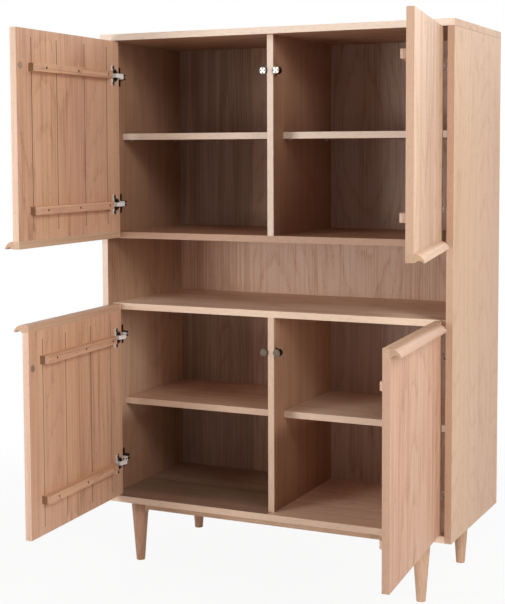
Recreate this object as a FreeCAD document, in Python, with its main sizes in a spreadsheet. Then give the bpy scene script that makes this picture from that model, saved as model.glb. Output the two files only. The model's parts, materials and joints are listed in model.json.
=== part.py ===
import FreeCAD, Part
import math
import os
import Sketcher

# Tall oak cabinet on turned legs: two rooms with a pair of doors each and an open niche between them.
# X runs to the right, Y to the back and Z up; the origin is on the floor, under the middle of the
# carcass.  Lengths are millimetres, angles are degrees.

SIZES = {
    # carcass
    "overall_width": 1100,
    "overall_depth": 465,
    "overall_height": 1600,
    "panel_thickness": 19,
    "back_thickness": 5,
    "lower_room_height": 570,
    "niche_height": 198,
    "divider_setback": 26.3,
    # loose shelves
    "upper_shelf_rise": 297,
    "lower_shelf_rise": 286,
    "shelf_setback": 95,
    "shelf_clearance": 0.5,
    "shelf_pin_radius": 2.5,
    "shelf_pin_seat": 8,
    "shelf_pin_reach": 8,
    "shelf_pin_inset": 45,
    # carcass joints
    "dowel_radius": 4,
    "dowel_face_depth": 12,
    "dowel_end_depth": 16,
    "bore_end_gap": 0.5,
    "hole_clearance": 0.1,
    # legs and the frame that joins them
    "leg_height": 184,
    "leg_top_radius": 27,
    "leg_foot_radius": 13,
    "leg_side_inset": 98.5,
    "leg_front_inset": 43,
    "rail_height": 23,
    "rail_thickness": 22,
    "rail_cove_radius": 13,
    "rail_cove_bite": 1.5,
    "leg_bolt_radius": 4,
    "leg_bolt_leg_depth": 40,
    "leg_bolt_panel_depth": 14,
    # doors
    "door_thickness": 19,
    "door_side_gap": 2,
    "door_middle_gap": 4,
    "door_end_gap": 2,
    "door_niche_gap": 1,
    "kerf_width": 3,
    "kerf_depth": 8,
    "kerf_edge": 70,
    "kerf_pitch": 122,
    "kerf_plain_margin": 21,
    "kerf_lip_margin": 24,
    # grip rail at the end of each door
    "lip_height": 21,
    "lip_reach": 26,
    "lip_round_radius": 28,
    "lip_tip_height": 3,
    "lip_hook_width": 3,
    "lip_groove_radius": 11.5,
    "lip_hinge_stop": 60,
    # battens across the inside of each door
    "batten_height": 22,
    "batten_thickness": 24,
    "batten_end_chamfer": 8,
    "batten_inset": 56,
    "batten_hinge_inset": 65,
    "upper_band_drop": 102,
    "upper_band_rise": 101,
    "lower_band_drop": 101,
    "lower_band_rise": 99,
    "batten_screw_inset": 52,
    "batten_hinge_screw_inset": 32,
    "screw_radius": 2,
    "screw_head_radius": 3.6,
    "screw_head_height": 3,
    "screw_head_sink": 5,
    "screw_board_depth": 9,
    "screw_hole_clearance": 0.05,
    # catches on the partitions and the discs that meet them
    "upper_catch_drop": 99,
    "lower_catch_drop": 119.5,
    "catch_radius": 11,
    "catch_length": 20,
    "catch_foot_height": 26,
    "catch_foot_thickness": 6,
    "catch_gap": 0.5,
    "magnet_radius": 6.5,
    "magnet_depth": 4,
    "strike_radius": 10,
    "strike_thickness": 2,
    "strike_stand": 0.3,
    # concealed hinges
    "pivot_inset": 17.8,
    "pivot_setback": 3.2,
    "cup_edge": 23.5,
    "cup_radius": 17.5,
    "cup_wall": 1.5,
    "cup_depth": 11.5,
    "cup_bore_spare": 0.3,
    "cup_rim": 1,
    "flange_thickness": 1.5,
    "flange_height": 59,
    "flange_width": 17.5,
    "flange_offset": 2.5,
    "cup_pin_radius": 2,
    "cup_pin_sink": 6,
    "cup_pin_bite": 1,
    "link_height": 12,
    "link_bar": 4,
    "link_side": 9.8,
    "link_rise": 26,
    "link_tail_side": 12,
    "link_tail_width": 6,
    "link_tail_rise": 41,
    "link_eye_radius": 3.7,
    "pin_clearance": 0.05,
    "link_lag_degrees": 10,
    "door_travel_degrees": 105,
    "arm_gap": 0.3,
    "arm_wall": 1.5,
    "arm_width": 19.5,
    "arm_front": 28,
    "arm_length": 34,
    "arm_cap_length": 18,
    "plate_thickness": 3.5,
    "plate_front": 29,
    "plate_length": 63,
    "plate_height": 18,
    "wing_setback": 34,
    "wing_length": 16,
    "wing_height": 57,
    "clip_rise": 13,
    "clip_height": 16,
    "clip_slot_height": 5,
    "clip_slot_length": 18,
    "clip_gap": 0.5,
    # how far each door stands open
    "upper_left_open_degrees": 88.9,
    "upper_right_open_degrees": 100.3,
    "lower_left_open_degrees": 86.2,
    "lower_right_open_degrees": 94.3,
    # extra length that lets a cut pass through a face
    "overrun": 1,
}

# places of the dowels along the depth of what they join
FACE_DOWEL_SHARES = (0.12, 0.5, 0.88)
PARTITION_DOWEL_SHARES = (0.15, 0.85)

X_AXIS = FreeCAD.Vector(1, 0, 0)
Y_AXIS = FreeCAD.Vector(0, 1, 0)
Z_AXIS = FreeCAD.Vector(0, 0, 1)
# turns that lay a cylinder along each axis
ALONG = {
    "x": FreeCAD.Rotation(Y_AXIS, 90),
    "y": FreeCAD.Rotation(X_AXIS, -90),
    "z": FreeCAD.Rotation(Z_AXIS, 0),
}

doc = FreeCAD.newDocument("TallCabinet")
sheet = doc.addObject("Spreadsheet::Sheet", "Sizes")
for row, (alias, number) in enumerate(SIZES.items(), start=1):
    sheet.set(f"A{row}", alias)
    sheet.set(f"B{row}", str(number))
    sheet.setAlias(f"B{row}", alias)
doc.recompute()


class Size:
    """A number together with the sheet formula that gives it, so that sums of sizes stay bound."""

    def __init__(self, value, text):
        self.value = value
        self.text = text

    @staticmethod
    def of(other):
        """Take a plain number as a size of its own."""
        return other if isinstance(other, Size) else Size(other, repr(other))

    def __add__(self, other):
        other = Size.of(other)
        return Size(self.value + other.value, f"({self.text} + {other.text})")

    def __sub__(self, other):
        other = Size.of(other)
        return Size(self.value - other.value, f"({self.text} - {other.text})")

    def __mul__(self, other):
        other = Size.of(other)
        return Size(self.value * other.value, f"({self.text} * {other.text})")

    def __truediv__(self, other):
        other = Size.of(other)
        return Size(self.value / other.value, f"({self.text} / {other.text})")

    def __neg__(self):
        return self * -1


class Named:
    """The named sizes, each as an attribute."""

    def __getattr__(self, alias):
        return Size(float(SIZES[alias]), f"Sizes.{alias}")


size = Named()


def cosine(angle):
    """Cosine of an angle in degrees."""
    return Size(math.cos(math.radians(angle.value)), f"cos({angle.text})")


def sine(angle):
    """Sine of an angle in degrees."""
    return Size(math.sin(math.radians(angle.value)), f"sin({angle.text})")


def bind(piece, **sizes):
    """Bind properties of a piece to their formulas."""
    for name, value in sizes.items():
        piece.setExpression(name, value.text)


def place(piece, x, y, z, turn=None):
    """Put a piece at a bound place, turned first where a rotation is given."""
    if turn:
        piece.Placement = FreeCAD.Placement(FreeCAD.Vector(), turn)
    for axis, value in zip("xyz", (x, y, z)):
        piece.setExpression(f"Placement.Base.{axis}", Size.of(value).text)
    return piece


def new(kind, label):
    """Make an object of the document with its own label."""
    piece = doc.addObject(kind, label)
    piece.Label = label
    return piece


def box(label, x, y, z, length, width, height):
    """A block from its lowest corner and its sizes along X, Y and Z."""
    block = new("Part::Box", label)
    bind(block, Length=length, Width=width, Height=height)
    return place(block, x, y, z)


def cylinder(label, axis, x, y, z, radius, height):
    """A round bar along one axis, from the middle of its first end."""
    bar = new("Part::Cylinder", label)
    bind(bar, Radius=radius, Height=height)
    return place(bar, x, y, z, ALONG[axis])


def group(label, pieces):
    """Several separate solids in one object."""
    bundle = new("Part::Compound", label)
    bundle.Links = pieces
    return bundle


def fuse(label, pieces):
    """One solid from pieces that touch or run into each other."""
    whole = new("Part::MultiFuse", label)
    whole.Shapes = pieces
    return whole


def cut(label, base, tools):
    """A base with every tool taken out of it."""
    result = new("Part::Cut", label)
    result.Base = base
    result.Tool = tools[0] if len(tools) == 1 else group(f"{label}_cuts", tools)
    return result


def arc_through(start, end, radius):
    """The short arc between two points; a positive radius has its centre on the left of the chord."""
    chord = end - start
    left = FreeCAD.Vector(-chord.y, chord.x, 0).normalize()
    drop = math.sqrt(radius ** 2 - (chord.Length / 2) ** 2)
    centre = (start + end) / 2 + left * math.copysign(drop, radius)
    first, last = (start, end) if radius > 0 else (end, start)
    angles = [math.atan2(point.y - centre.y, point.x - centre.x) for point in (first, last)]
    if angles[1] < angles[0]:
        angles[1] += 2 * math.pi
    return Part.ArcOfCircle(Part.Circle(centre, Z_AXIS, abs(radius)), *angles)


def outline(body, label, plane, corners, arcs=None, offset=None):
    """A closed outline on one of the body's own planes, every corner bound to its place."""
    arcs = arcs or {}
    sketch = body.newObject("Sketcher::SketchObject", label)
    own_plane = [feature for feature in body.Origin.OriginFeatures if feature.Role == plane][0]
    sketch.AttachmentSupport = [(own_plane, "")]
    sketch.MapMode = "FlatFace"
    if offset is not None:
        sketch.setExpression("AttachmentOffset.Base.z", offset.text)
    points = [FreeCAD.Vector(across.value, up.value, 0) for across, up in corners]
    ends = []
    for index, start in enumerate(points):
        end = points[(index + 1) % len(points)]
        if index in arcs:
            edge = sketch.addGeometry(arc_through(start, end, arcs[index].value), False)
            ends.append((edge, 1, 2) if arcs[index].value > 0 else (edge, 2, 1))
        else:
            edge = sketch.addGeometry(Part.LineSegment(start, end), False)
            ends.append((edge, 1, 2))
    for (edge, _, last), (following, first, _) in zip(ends, ends[1:] + ends[:1]):
        sketch.addConstraint(Sketcher.Constraint("Coincident", edge, last, following, first))
    for (edge, first, _), (across, up) in zip(ends, corners):
        for kind, value in (("DistanceX", across), ("DistanceY", up)):
            number = sketch.addConstraint(Sketcher.Constraint(kind, -1, 1, edge, first, value.value))
            sketch.setExpression(f"Constraints[{number}]", value.text)
    for index, radius in arcs.items():
        if radius.value < 0:
            radius = -radius
        number = sketch.addConstraint(Sketcher.Constraint("Radius", ends[index][0], radius.value))
        sketch.setExpression(f"Constraints[{number}]", radius.text)
    return sketch


def disc(body, label, plane, radius):
    """A circle round the body's origin, on one of its own planes."""
    sketch = body.newObject("Sketcher::SketchObject", label)
    own_plane = [feature for feature in body.Origin.OriginFeatures if feature.Role == plane][0]
    sketch.AttachmentSupport = [(own_plane, "")]
    sketch.MapMode = "FlatFace"
    edge = sketch.addGeometry(Part.Circle(FreeCAD.Vector(), Z_AXIS, radius.value), False)
    sketch.addConstraint(Sketcher.Constraint("Coincident", edge, 3, -1, 1))
    number = sketch.addConstraint(Sketcher.Constraint("Radius", edge, radius.value))
    sketch.setExpression(f"Constraints[{number}]", radius.text)
    return sketch


def pad(body, label, sketch, length):
    """A solid raised from a sketch along the normal of its plane."""
    feature = body.newObject("PartDesign::Pad", label)
    feature.Profile = sketch
    feature.setExpression("Length", length.text)
    sketch.Visibility = False
    return feature


nodes = {}


def keep(node, piece):
    """Make a piece one of the cabinet's named sub-parts."""
    piece.Label = node
    nodes[node] = piece
    return piece


# Levels and faces of the carcass
half_width = size.overall_width / 2
half_depth = size.overall_depth / 2
front = -half_depth
panel = size.panel_thickness
inner_half_width = half_width - panel
floor_underside = size.leg_height
floor_top = floor_underside + panel
niche_bottom = floor_top + size.lower_room_height
niche_top = niche_bottom + panel
deck_bottom = niche_top + size.niche_height
deck_top = deck_bottom + panel
top_underside = size.overall_height - panel
divider_front = front + size.divider_setback
divider_depth = size.overall_depth - size.divider_setback - size.back_thickness
half_panel = panel / 2

# Dowels and their holes, gathered for each panel that they enter
dowels = []
holes = {}


def dowel(axis, x, y, z, panels):
    """One dowel, whose middle plane is the joint, with its first end in the face of a panel.

    The axis letter has a sign that tells which way the dowel runs from that face."""
    name = f"dowel_{len(dowels)}"
    sign = 1 if axis[0] == "+" else -1
    lengths = (size.dowel_face_depth, size.dowel_end_depth)
    low = lengths[0] if sign > 0 else lengths[1]
    whole = size.dowel_face_depth + size.dowel_end_depth
    start = {"x": x, "y": y, "z": z}
    start[axis[1]] = start[axis[1]] - low
    dowels.append(cylinder(name, axis[1], start["x"], start["y"], start["z"], size.dowel_radius, whole))
    start[axis[1]] = start[axis[1]] - size.bore_end_gap
    bore = cylinder(f"{name}_hole", axis[1], start["x"], start["y"], start["z"],
                    size.dowel_radius + size.hole_clearance, whole + size.bore_end_gap * 2)
    for panel_name in panels:
        holes.setdefault(panel_name, []).append(bore)


# Dowels up into the top panel
for side, side_panel in ((-1, "left_side_panel"), (1, "right_side_panel")):
    for share in FACE_DOWEL_SHARES:
        dowel("-z", (half_width - half_panel) * side, front + size.overall_depth * share, top_underside,
              (side_panel, "top_panel"))

# Dowels that hold the level panels between the sides
for side, side_panel in ((-1, "left_side_panel"), (1, "right_side_panel")):
    for level_panel, level in (("bottom_panel", floor_underside), ("niche_shelf", niche_bottom),
                               ("upper_floor", deck_bottom)):
        for share in FACE_DOWEL_SHARES:
            dowel("+x" if side < 0 else "-x", inner_half_width * side,
                  divider_front + divider_depth * share, level + half_panel, (side_panel, level_panel))

# Dowels at both ends of the two partitions
for partition, lower_panel, lower_level, upper_panel, upper_level in (
        ("lower_partition", "bottom_panel", floor_top, "niche_shelf", niche_bottom),
        ("upper_partition", "upper_floor", deck_top, "top_panel", top_underside)):
    for share in PARTITION_DOWEL_SHARES:
        along = divider_front + divider_depth * share
        dowel("+z", Size.of(0), along, lower_level, (partition, lower_panel))
        dowel("-z", Size.of(0), along, upper_level, (partition, upper_panel))

# Loose shelves on pins that stand in the sides and the partitions
shelf_pins = []
shelf_front = front + size.shelf_setback
shelf_depth = size.overall_depth - size.shelf_setback - size.back_thickness - size.shelf_clearance
shelf_length = inner_half_width - half_panel - size.shelf_clearance * 2


def shelf(node, side, top, side_panel, partition):
    """One shelf of a room, with the four pins that carry it."""
    inner = half_panel + size.shelf_clearance
    left = inner if side > 0 else -(inner + shelf_length)
    keep(node, box(node, left, shelf_front, top - panel, shelf_length, shelf_depth, panel))
    pin_length = size.shelf_pin_seat + size.shelf_pin_reach
    bore_length = size.shelf_pin_seat + size.bore_end_gap
    for carrier, face, inward in ((side_panel, inner_half_width * side, -side),
                                  (partition, half_panel * side, side)):
        for along in (shelf_front + size.shelf_pin_inset, shelf_front + shelf_depth - size.shelf_pin_inset):
            name = f"{node}_pin_{len(shelf_pins)}"
            level = top - panel - size.shelf_pin_radius
            start = face - size.shelf_pin_seat if inward > 0 else face - size.shelf_pin_reach
            shelf_pins.append(cylinder(name, "x", start, along, level, size.shelf_pin_radius, pin_length))
            start = face - bore_length if inward > 0 else face - size.overrun
            bore = cylinder(f"{name}_hole", "x", start, along, level,
                            size.shelf_pin_radius + size.hole_clearance, bore_length + size.overrun)
            holes.setdefault(carrier, []).append(bore)


for side, side_name in ((-1, "left"), (1, "right")):
    shelf(f"upper_{side_name}_shelf", side, deck_top + size.upper_shelf_rise,
          f"{side_name}_side_panel", "upper_partition")
    shelf(f"lower_{side_name}_shelf", side, floor_top + size.lower_shelf_rise,
          f"{side_name}_side_panel", "lower_partition")

# Turned legs, their bolts and the rails between them
leg_x = half_width - size.leg_side_inset
leg_y = half_depth - size.leg_front_inset
leg_corners = {
    "front_left": (-leg_x, -leg_y),
    "front_right": (leg_x, -leg_y),
    "rear_left": (-leg_x, leg_y),
    "rear_right": (leg_x, leg_y),
}
leg_cones = {}
leg_bolts = []
for corner, (x, y) in leg_corners.items():
    cone = new("Part::Cone", f"{corner}_leg_blank")
    bind(cone, Radius1=size.leg_foot_radius, Radius2=size.leg_top_radius, Height=size.leg_height)
    leg_cones[corner] = place(cone, x, y, 0)
    bolt_start = size.leg_height - size.leg_bolt_leg_depth
    bolt_length = size.leg_bolt_leg_depth + size.leg_bolt_panel_depth
    leg_bolts.append(cylinder(f"{corner}_leg_bolt", "z", x, y, bolt_start, size.leg_bolt_radius, bolt_length))
    bore = cylinder(f"{corner}_leg_bolt_hole", "z", x, y, bolt_start - size.bore_end_gap,
                    size.leg_bolt_radius + size.hole_clearance, bolt_length + size.bore_end_gap * 2)
    holes.setdefault("bottom_panel", []).append(bore)
    keep(f"{corner}_leg", cut(f"{corner}_leg", cone, [bore]))
keep("leg_bolts", group("leg_bolts", leg_bolts))

# radius of a leg at the level where the cove of a rail meets it
cove_drop = size.rail_height + size.rail_cove_radius
leg_taper = (size.leg_top_radius - size.leg_foot_radius) / size.leg_height
cove_leg_radius = size.leg_top_radius - leg_taper * cove_drop


def frame_rail(node, plane, reach, x, y, legs):
    """A rail from one leg's axis to the next, with a cove into each leg, cut to the legs' round."""
    body = new("PartDesign::Body", f"{node}_blank")
    under = size.leg_height - size.rail_height
    low = size.leg_height - cove_drop
    touch = reach - cove_leg_radius + size.rail_cove_bite
    turn = touch - size.rail_cove_radius
    corners = [
        (-reach, size.leg_height), (-reach, low), (-touch, low), (-turn, under),
        (turn, under), (touch, low), (reach, low), (reach, size.leg_height),
    ]
    arcs = {2: -size.rail_cove_radius, 4: -size.rail_cove_radius}
    pad(body, f"{node}_pad", outline(body, f"{node}_side_view", plane, corners, arcs), size.rail_thickness)
    place(body, x, y, 0)
    keep(node, cut(node, body, [leg_cones[leg] for leg in legs]))


half_rail = size.rail_thickness / 2
frame_rail("front_rail", "XZ_Plane", leg_x, 0, half_rail - leg_y, ("front_left", "front_right"))
frame_rail("rear_rail", "XZ_Plane", leg_x, 0, half_rail + leg_y, ("rear_left", "rear_right"))
frame_rail("left_rail", "YZ_Plane", leg_y, -leg_x - half_rail, 0, ("front_left", "rear_left"))
frame_rail("right_rail", "YZ_Plane", leg_y, leg_x - half_rail, 0, ("front_right", "rear_right"))

# Panels of the carcass, with the holes gathered above
side_height = top_underside - floor_underside
room = inner_half_width * 2
carcass = {
    "top_panel": (-half_width, front, top_underside, size.overall_width, size.overall_depth, panel),
    "bottom_panel": (-inner_half_width, front, floor_underside, room, size.overall_depth, panel),
    "left_side_panel": (-half_width, front, floor_underside, panel, size.overall_depth, side_height),
    "right_side_panel": (inner_half_width, front, floor_underside, panel, size.overall_depth, side_height),
    "niche_shelf": (-inner_half_width, divider_front, niche_bottom, room, divider_depth, panel),
    "upper_floor": (-inner_half_width, divider_front, deck_bottom, room, divider_depth, panel),
    "lower_partition": (-half_panel, divider_front, floor_top, panel, divider_depth, size.lower_room_height),
    "upper_partition": (-half_panel, divider_front, deck_top, panel, divider_depth, top_underside - deck_top),
}
for node, measures in carcass.items():
    keep(node, cut(node, box(f"{node}_blank", *measures), holes[node]))
keep("back_panel", box("back_panel", -inner_half_width, half_depth - size.back_thickness, floor_top,
                       room, size.back_thickness, top_underside - floor_top))
keep("carcass_dowels", group("carcass_dowels", dowels))
keep("shelf_pins", group("shelf_pins", shelf_pins))

# Doors.  Each is drawn shut, round its own pivot, and then swung open about it.
door_width = inner_half_width - size.door_side_gap - size.door_middle_gap / 2
hinge_edge = size.door_side_gap - size.pivot_inset
outer_face = -size.pivot_setback
inner_face = size.door_thickness - size.pivot_setback
catch_axis = half_panel + size.catch_radius
strike_edge = inner_half_width - size.door_side_gap - catch_axis
upper_door_bottom = deck_bottom + size.door_end_gap
upper_door_top = top_underside - size.door_end_gap
lower_door_bottom = floor_top + size.door_end_gap
lower_door_top = niche_top - size.door_niche_gap
levels = {
    "upper": {
        "lip": upper_door_bottom,
        "board": (upper_door_bottom + size.lip_height, upper_door_top),
        "margins": (size.kerf_lip_margin, size.kerf_plain_margin),
        "bands": (upper_door_bottom + size.upper_band_rise, upper_door_top - size.upper_band_drop),
        "catch": upper_door_top - size.upper_catch_drop,
    },
    "lower": {
        "lip": lower_door_top - size.lip_height,
        "board": (lower_door_bottom, lower_door_top - size.lip_height),
        "margins": (size.kerf_plain_margin, size.kerf_lip_margin),
        "bands": (lower_door_bottom + size.lower_band_rise, lower_door_top - size.lower_band_drop),
        "catch": lower_door_top - size.lower_catch_drop,
    },
}


def along_door(side, start, length):
    """Lowest X of a stretch of a shut door that starts at a distance from its hinge edge."""
    return hinge_edge + start if side < 0 else -(hinge_edge + start + length)


def across(side, start):
    """X of a place on a shut door at a distance from its hinge edge."""
    return (hinge_edge + start) * -side


def hang(side, angle, piece):
    """Put a shut piece on its pivot and swing it open."""
    swing = angle * side
    turn = FreeCAD.Rotation(Z_AXIS, swing.value)
    place(piece, (inner_half_width - size.pivot_inset) * side, front + size.pivot_setback, 0, turn)
    piece.setExpression("Placement.Rotation.Angle", swing.text)
    return piece


def lip_rail(node, side, angle, level):
    """The grip rail: a plain bar with a rounded nose, hollowed underneath for the fingers."""
    body = new("PartDesign::Body", node)
    bar = [
        (outer_face, Size.of(0)), (inner_face, Size.of(0)),
        (inner_face, size.lip_height), (outer_face, size.lip_height),
    ]
    pad(body, f"{node}_bar", outline(body, f"{node}_bar_section", "YZ_Plane", bar), door_width)
    tip = outer_face - size.lip_reach
    nose = [
        (outer_face, size.lip_height), (tip, size.lip_tip_height), (tip, Size.of(0)),
        (tip + size.lip_hook_width, Size.of(0)), (outer_face - size.lip_hook_width, Size.of(0)),
        (outer_face, Size.of(0)),
    ]
    arcs = {0: size.lip_round_radius, 3: -size.lip_groove_radius}
    start = size.lip_hinge_stop if side < 0 else Size.of(0)
    section = outline(body, f"{node}_nose_section", "YZ_Plane", nose, arcs, start)
    body.Tip = pad(body, f"{node}_nose", section, door_width - size.lip_hinge_stop)
    # the bar runs the whole width of the door; only the nose stops short of the hinge edge
    holder = group(f"{node}_hung", [place(body, along_door(side, Size.of(0), door_width), 0, level)])
    keep(node, hang(side, angle, holder))


def door_board(node, side, angle, room_name, cuts):
    """The board of a door, with its long slots and the bores for what is fixed in it."""
    low, high = levels[room_name]["board"]
    low_margin, high_margin = levels[room_name]["margins"]
    blank = box(f"{node}_blank", along_door(side, Size.of(0), door_width), outer_face, low,
                door_width, size.door_thickness, high - low)
    last = door_width - size.kerf_edge
    for index, place_along in enumerate((size.kerf_edge, size.kerf_edge + size.kerf_pitch,
                                         last - size.kerf_pitch, last)):
        cuts.append(box(f"{node}_slot_{index}",
                        along_door(side, place_along - size.kerf_width / 2, size.kerf_width),
                        inner_face - size.kerf_depth, low + low_margin, size.kerf_width,
                        size.kerf_depth + size.overrun, high - high_margin - low - low_margin))
    keep(node, hang(side, angle, cut(node, blank, cuts)))


def batten_blank(name, side):
    """A bar across the door that clears both its edges, with the inner corners of its ends cut off."""
    body = new("PartDesign::Body", name)
    near = size.batten_hinge_inset
    far = door_width - size.batten_inset
    face = inner_face + size.batten_thickness
    plan = [
        (near, inner_face), (far, inner_face), (far, face - size.batten_end_chamfer),
        (far - size.batten_end_chamfer, face), (near + size.batten_end_chamfer, face),
        (near, face - size.batten_end_chamfer),
    ]
    plan = [(across(side, along), inward) for along, inward in plan]
    pad(body, f"{name}_bar", outline(body, f"{name}_plan", "XY_Plane", plan), size.batten_height)
    return body


def door_battens(prefix, side, angle, room_name):
    """The two battens and their sunk screws; gives back the cuts that the screws need in the board."""
    battens = []
    screws = []
    board_cuts = []
    first_screw = size.batten_hinge_inset + size.batten_hinge_screw_inset
    last_screw = door_width - size.batten_inset - size.batten_screw_inset
    shank_tip = inner_face - size.screw_board_depth
    head_seat = inner_face + size.batten_thickness - size.screw_head_sink - size.screw_head_height
    hole_radius = size.screw_radius + size.screw_hole_clearance
    for band, level in enumerate(levels[room_name]["bands"]):
        name = f"{prefix}_batten_{band}"
        blank = place(batten_blank(name, side), 0, 0, level - size.batten_height / 2)
        tools = []
        for index, distance in enumerate((first_screw, (first_screw + last_screw) / 2, last_screw)):
            x = across(side, distance)
            screw = f"{name}_screw_{index}"
            shank = cylinder(f"{screw}_shank", "y", x, shank_tip, level, size.screw_radius,
                             head_seat - shank_tip + size.screw_head_height / 2)
            head = cylinder(f"{screw}_head", "y", x, head_seat, level, size.screw_head_radius,
                            size.screw_head_height)
            screws.append(fuse(screw, [shank, head]))
            tools.append(cylinder(f"{screw}_hole", "y", x, inner_face - size.overrun, level, hole_radius,
                                  size.batten_thickness + size.overrun * 2))
            tools.append(cylinder(f"{screw}_sink", "y", x, head_seat, level,
                                  size.screw_head_radius + size.screw_hole_clearance,
                                  size.screw_head_height + size.screw_head_sink + size.overrun))
            board_cuts.append(cylinder(f"{screw}_pilot", "y", x, shank_tip - size.bore_end_gap, level,
                                       hole_radius, size.screw_board_depth + size.bore_end_gap
                                       + size.overrun))
        battens.append(cut(f"{name}_drilled", blank, tools))
    keep(f"{prefix}_battens", hang(side, angle, group(f"{prefix}_battens", battens)))
    keep(f"{prefix}_batten_screws", hang(side, angle, group(f"{prefix}_batten_screws", screws)))
    return board_cuts


def strike_disc(prefix, side, angle, level):
    """The disc that the catch pulls on, let into the board; gives back its recess."""
    x = across(side, strike_edge)
    seat = inner_face + size.strike_stand - size.strike_thickness
    plate = cylinder(f"{prefix}_strike_blank", "y", x, seat, level, size.strike_radius, size.strike_thickness)
    keep(f"{prefix}_strike_disc", hang(side, angle, group(f"{prefix}_strike_disc", [plate])))
    return cylinder(f"{prefix}_strike_recess", "y", x, seat, level, size.strike_radius + size.hole_clearance,
                    size.strike_thickness + size.overrun)


def hinge_cups(prefix, side, angle, room_name):
    """The cups with their flanges and pins; gives back the bores that they sit in."""
    cups = []
    bores = []
    x = across(side, size.cup_edge)
    hollow_radius = size.cup_radius - size.cup_wall
    for band, level in enumerate(levels[room_name]["bands"]):
        name = f"{prefix}_cup_{band}"
        shell = cylinder(f"{name}_shell", "y", x, inner_face - size.cup_depth, level, size.cup_radius,
                         size.cup_depth + size.flange_thickness)
        rim = cylinder(f"{name}_rim", "y", x, inner_face, level, size.cup_radius + size.cup_rim,
                       size.flange_thickness)
        flange = box(f"{name}_flange", along_door(side, size.cup_edge + size.flange_offset, size.flange_width),
                     inner_face, level - size.flange_height / 2, size.flange_width, size.flange_thickness,
                     size.flange_height)
        hollow = cylinder(f"{name}_hollow", "y", x, inner_face - size.cup_depth + size.cup_wall, level,
                          hollow_radius, size.cup_depth + size.flange_thickness)
        cup = cut(f"{name}_open", fuse(f"{name}_solid", [shell, rim, flange]), [hollow])
        pin_reach = hollow_radius + size.cup_pin_bite
        pin = cylinder(f"{name}_pin", "z", x, inner_face - size.cup_pin_sink, level - pin_reach,
                       size.cup_pin_radius, pin_reach * 2)
        cups.append(fuse(name, [cup, pin]))
        bores.append(cylinder(f"{name}_bore", "y", x, inner_face - size.cup_depth - size.cup_bore_spare,
                              level, size.cup_radius + size.hole_clearance,
                              size.cup_depth + size.cup_bore_spare + size.overrun))
    keep(f"{prefix}_hinge_cups", hang(side, angle, group(f"{prefix}_hinge_cups", cups)))
    return bores


def link_blank(name, side):
    """A cranked link: an eye on the cup's pin, an arm round the door's edge and a tail for the channel."""
    body = new("PartDesign::Body", name)
    half_bar = size.link_bar / 2
    far_side = size.link_side + size.link_bar
    far_rise = size.link_rise + size.link_bar
    tail_far = size.link_tail_side + size.link_tail_width
    shape = [
        (Size.of(0), -half_bar), (far_side, -half_bar), (far_side, far_rise),
        (-size.link_tail_side, far_rise), (-size.link_tail_side, size.link_tail_rise),
        (-tail_far, size.link_tail_rise), (-tail_far, size.link_rise), (size.link_side, size.link_rise),
        (size.link_side, half_bar), (Size.of(0), half_bar),
    ]
    shape = [(to_side * -side, back) for to_side, back in shape]
    pad(body, f"{name}_bar", outline(body, f"{name}_outline", "XY_Plane", shape), size.link_height)
    eye = disc(body, f"{name}_eye_circle", "XY_Plane", size.link_eye_radius)
    pad(body, f"{name}_eye", eye, size.link_height)
    bore = disc(body, f"{name}_bore_circle", "XY_Plane", size.cup_pin_radius + size.pin_clearance)
    pocket = body.newObject("PartDesign::Pocket", f"{name}_bore")
    pocket.Profile = bore
    pocket.Reversed = True
    pocket.setExpression("Length", size.link_height.text)
    body.Tip = pocket
    return body


def hinge_links(prefix, side, angle, room_name):
    """The links of a door's two hinges, which keep almost the same heading while the door swings."""
    links = []
    reach_x = across(side, size.cup_edge)
    reach_y = inner_face - size.cup_pin_sink
    swing = angle * side
    pin_x = reach_x * cosine(swing) - reach_y * sine(swing)
    pin_y = reach_x * sine(swing) + reach_y * cosine(swing)
    heading = swing * size.link_lag_degrees / size.door_travel_degrees
    for band, level in enumerate(levels[room_name]["bands"]):
        name = f"{prefix}_link_{band}"
        body = link_blank(name, side)
        place(body, (inner_half_width - size.pivot_inset) * side + pin_x,
              front + size.pivot_setback + pin_y, level - size.link_height / 2,
              FreeCAD.Rotation(Z_AXIS, heading.value))
        body.setExpression("Placement.Rotation.Angle", heading.text)
        links.append(body)
    keep(f"{prefix}_hinge_links", group(f"{prefix}_hinge_links", links))


def hinge_arms(prefix, side, room_name):
    """The channels that stand on the mounting plates, open in front for the links and capped behind."""
    arms = []
    half_room = size.link_height / 2 + size.arm_gap
    half_outer = half_room + size.arm_wall
    root = size.plate_thickness
    web = root + size.arm_wall
    lip = web + size.arm_width
    section = [
        (root, -half_outer), (lip, -half_outer), (lip, -half_room), (web, -half_room),
        (web, half_room), (lip, half_room), (lip, half_outer), (root, half_outer),
    ]
    section = [(from_side * -side, up) for from_side, up in section]
    for band, level in enumerate(levels[room_name]["bands"]):
        name = f"{prefix}_arm_{band}"
        body = new("PartDesign::Body", name)
        pad(body, f"{name}_channel", outline(body, f"{name}_section", "XZ_Plane", section), size.arm_length)
        arm_back = front + size.arm_front + size.arm_length
        place(body, inner_half_width * side, arm_back, level)
        cap_left = -inner_half_width + lip - size.arm_wall if side < 0 else inner_half_width - lip
        cap = box(f"{name}_cap", cap_left, arm_back - size.arm_cap_length, level - half_outer,
                  size.arm_wall, size.arm_cap_length, half_outer * 2)
        arms.append(fuse(f"{name}_capped", [body, cap]))
    keep(f"{prefix}_hinge_arms", group(f"{prefix}_hinge_arms", arms))


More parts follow.
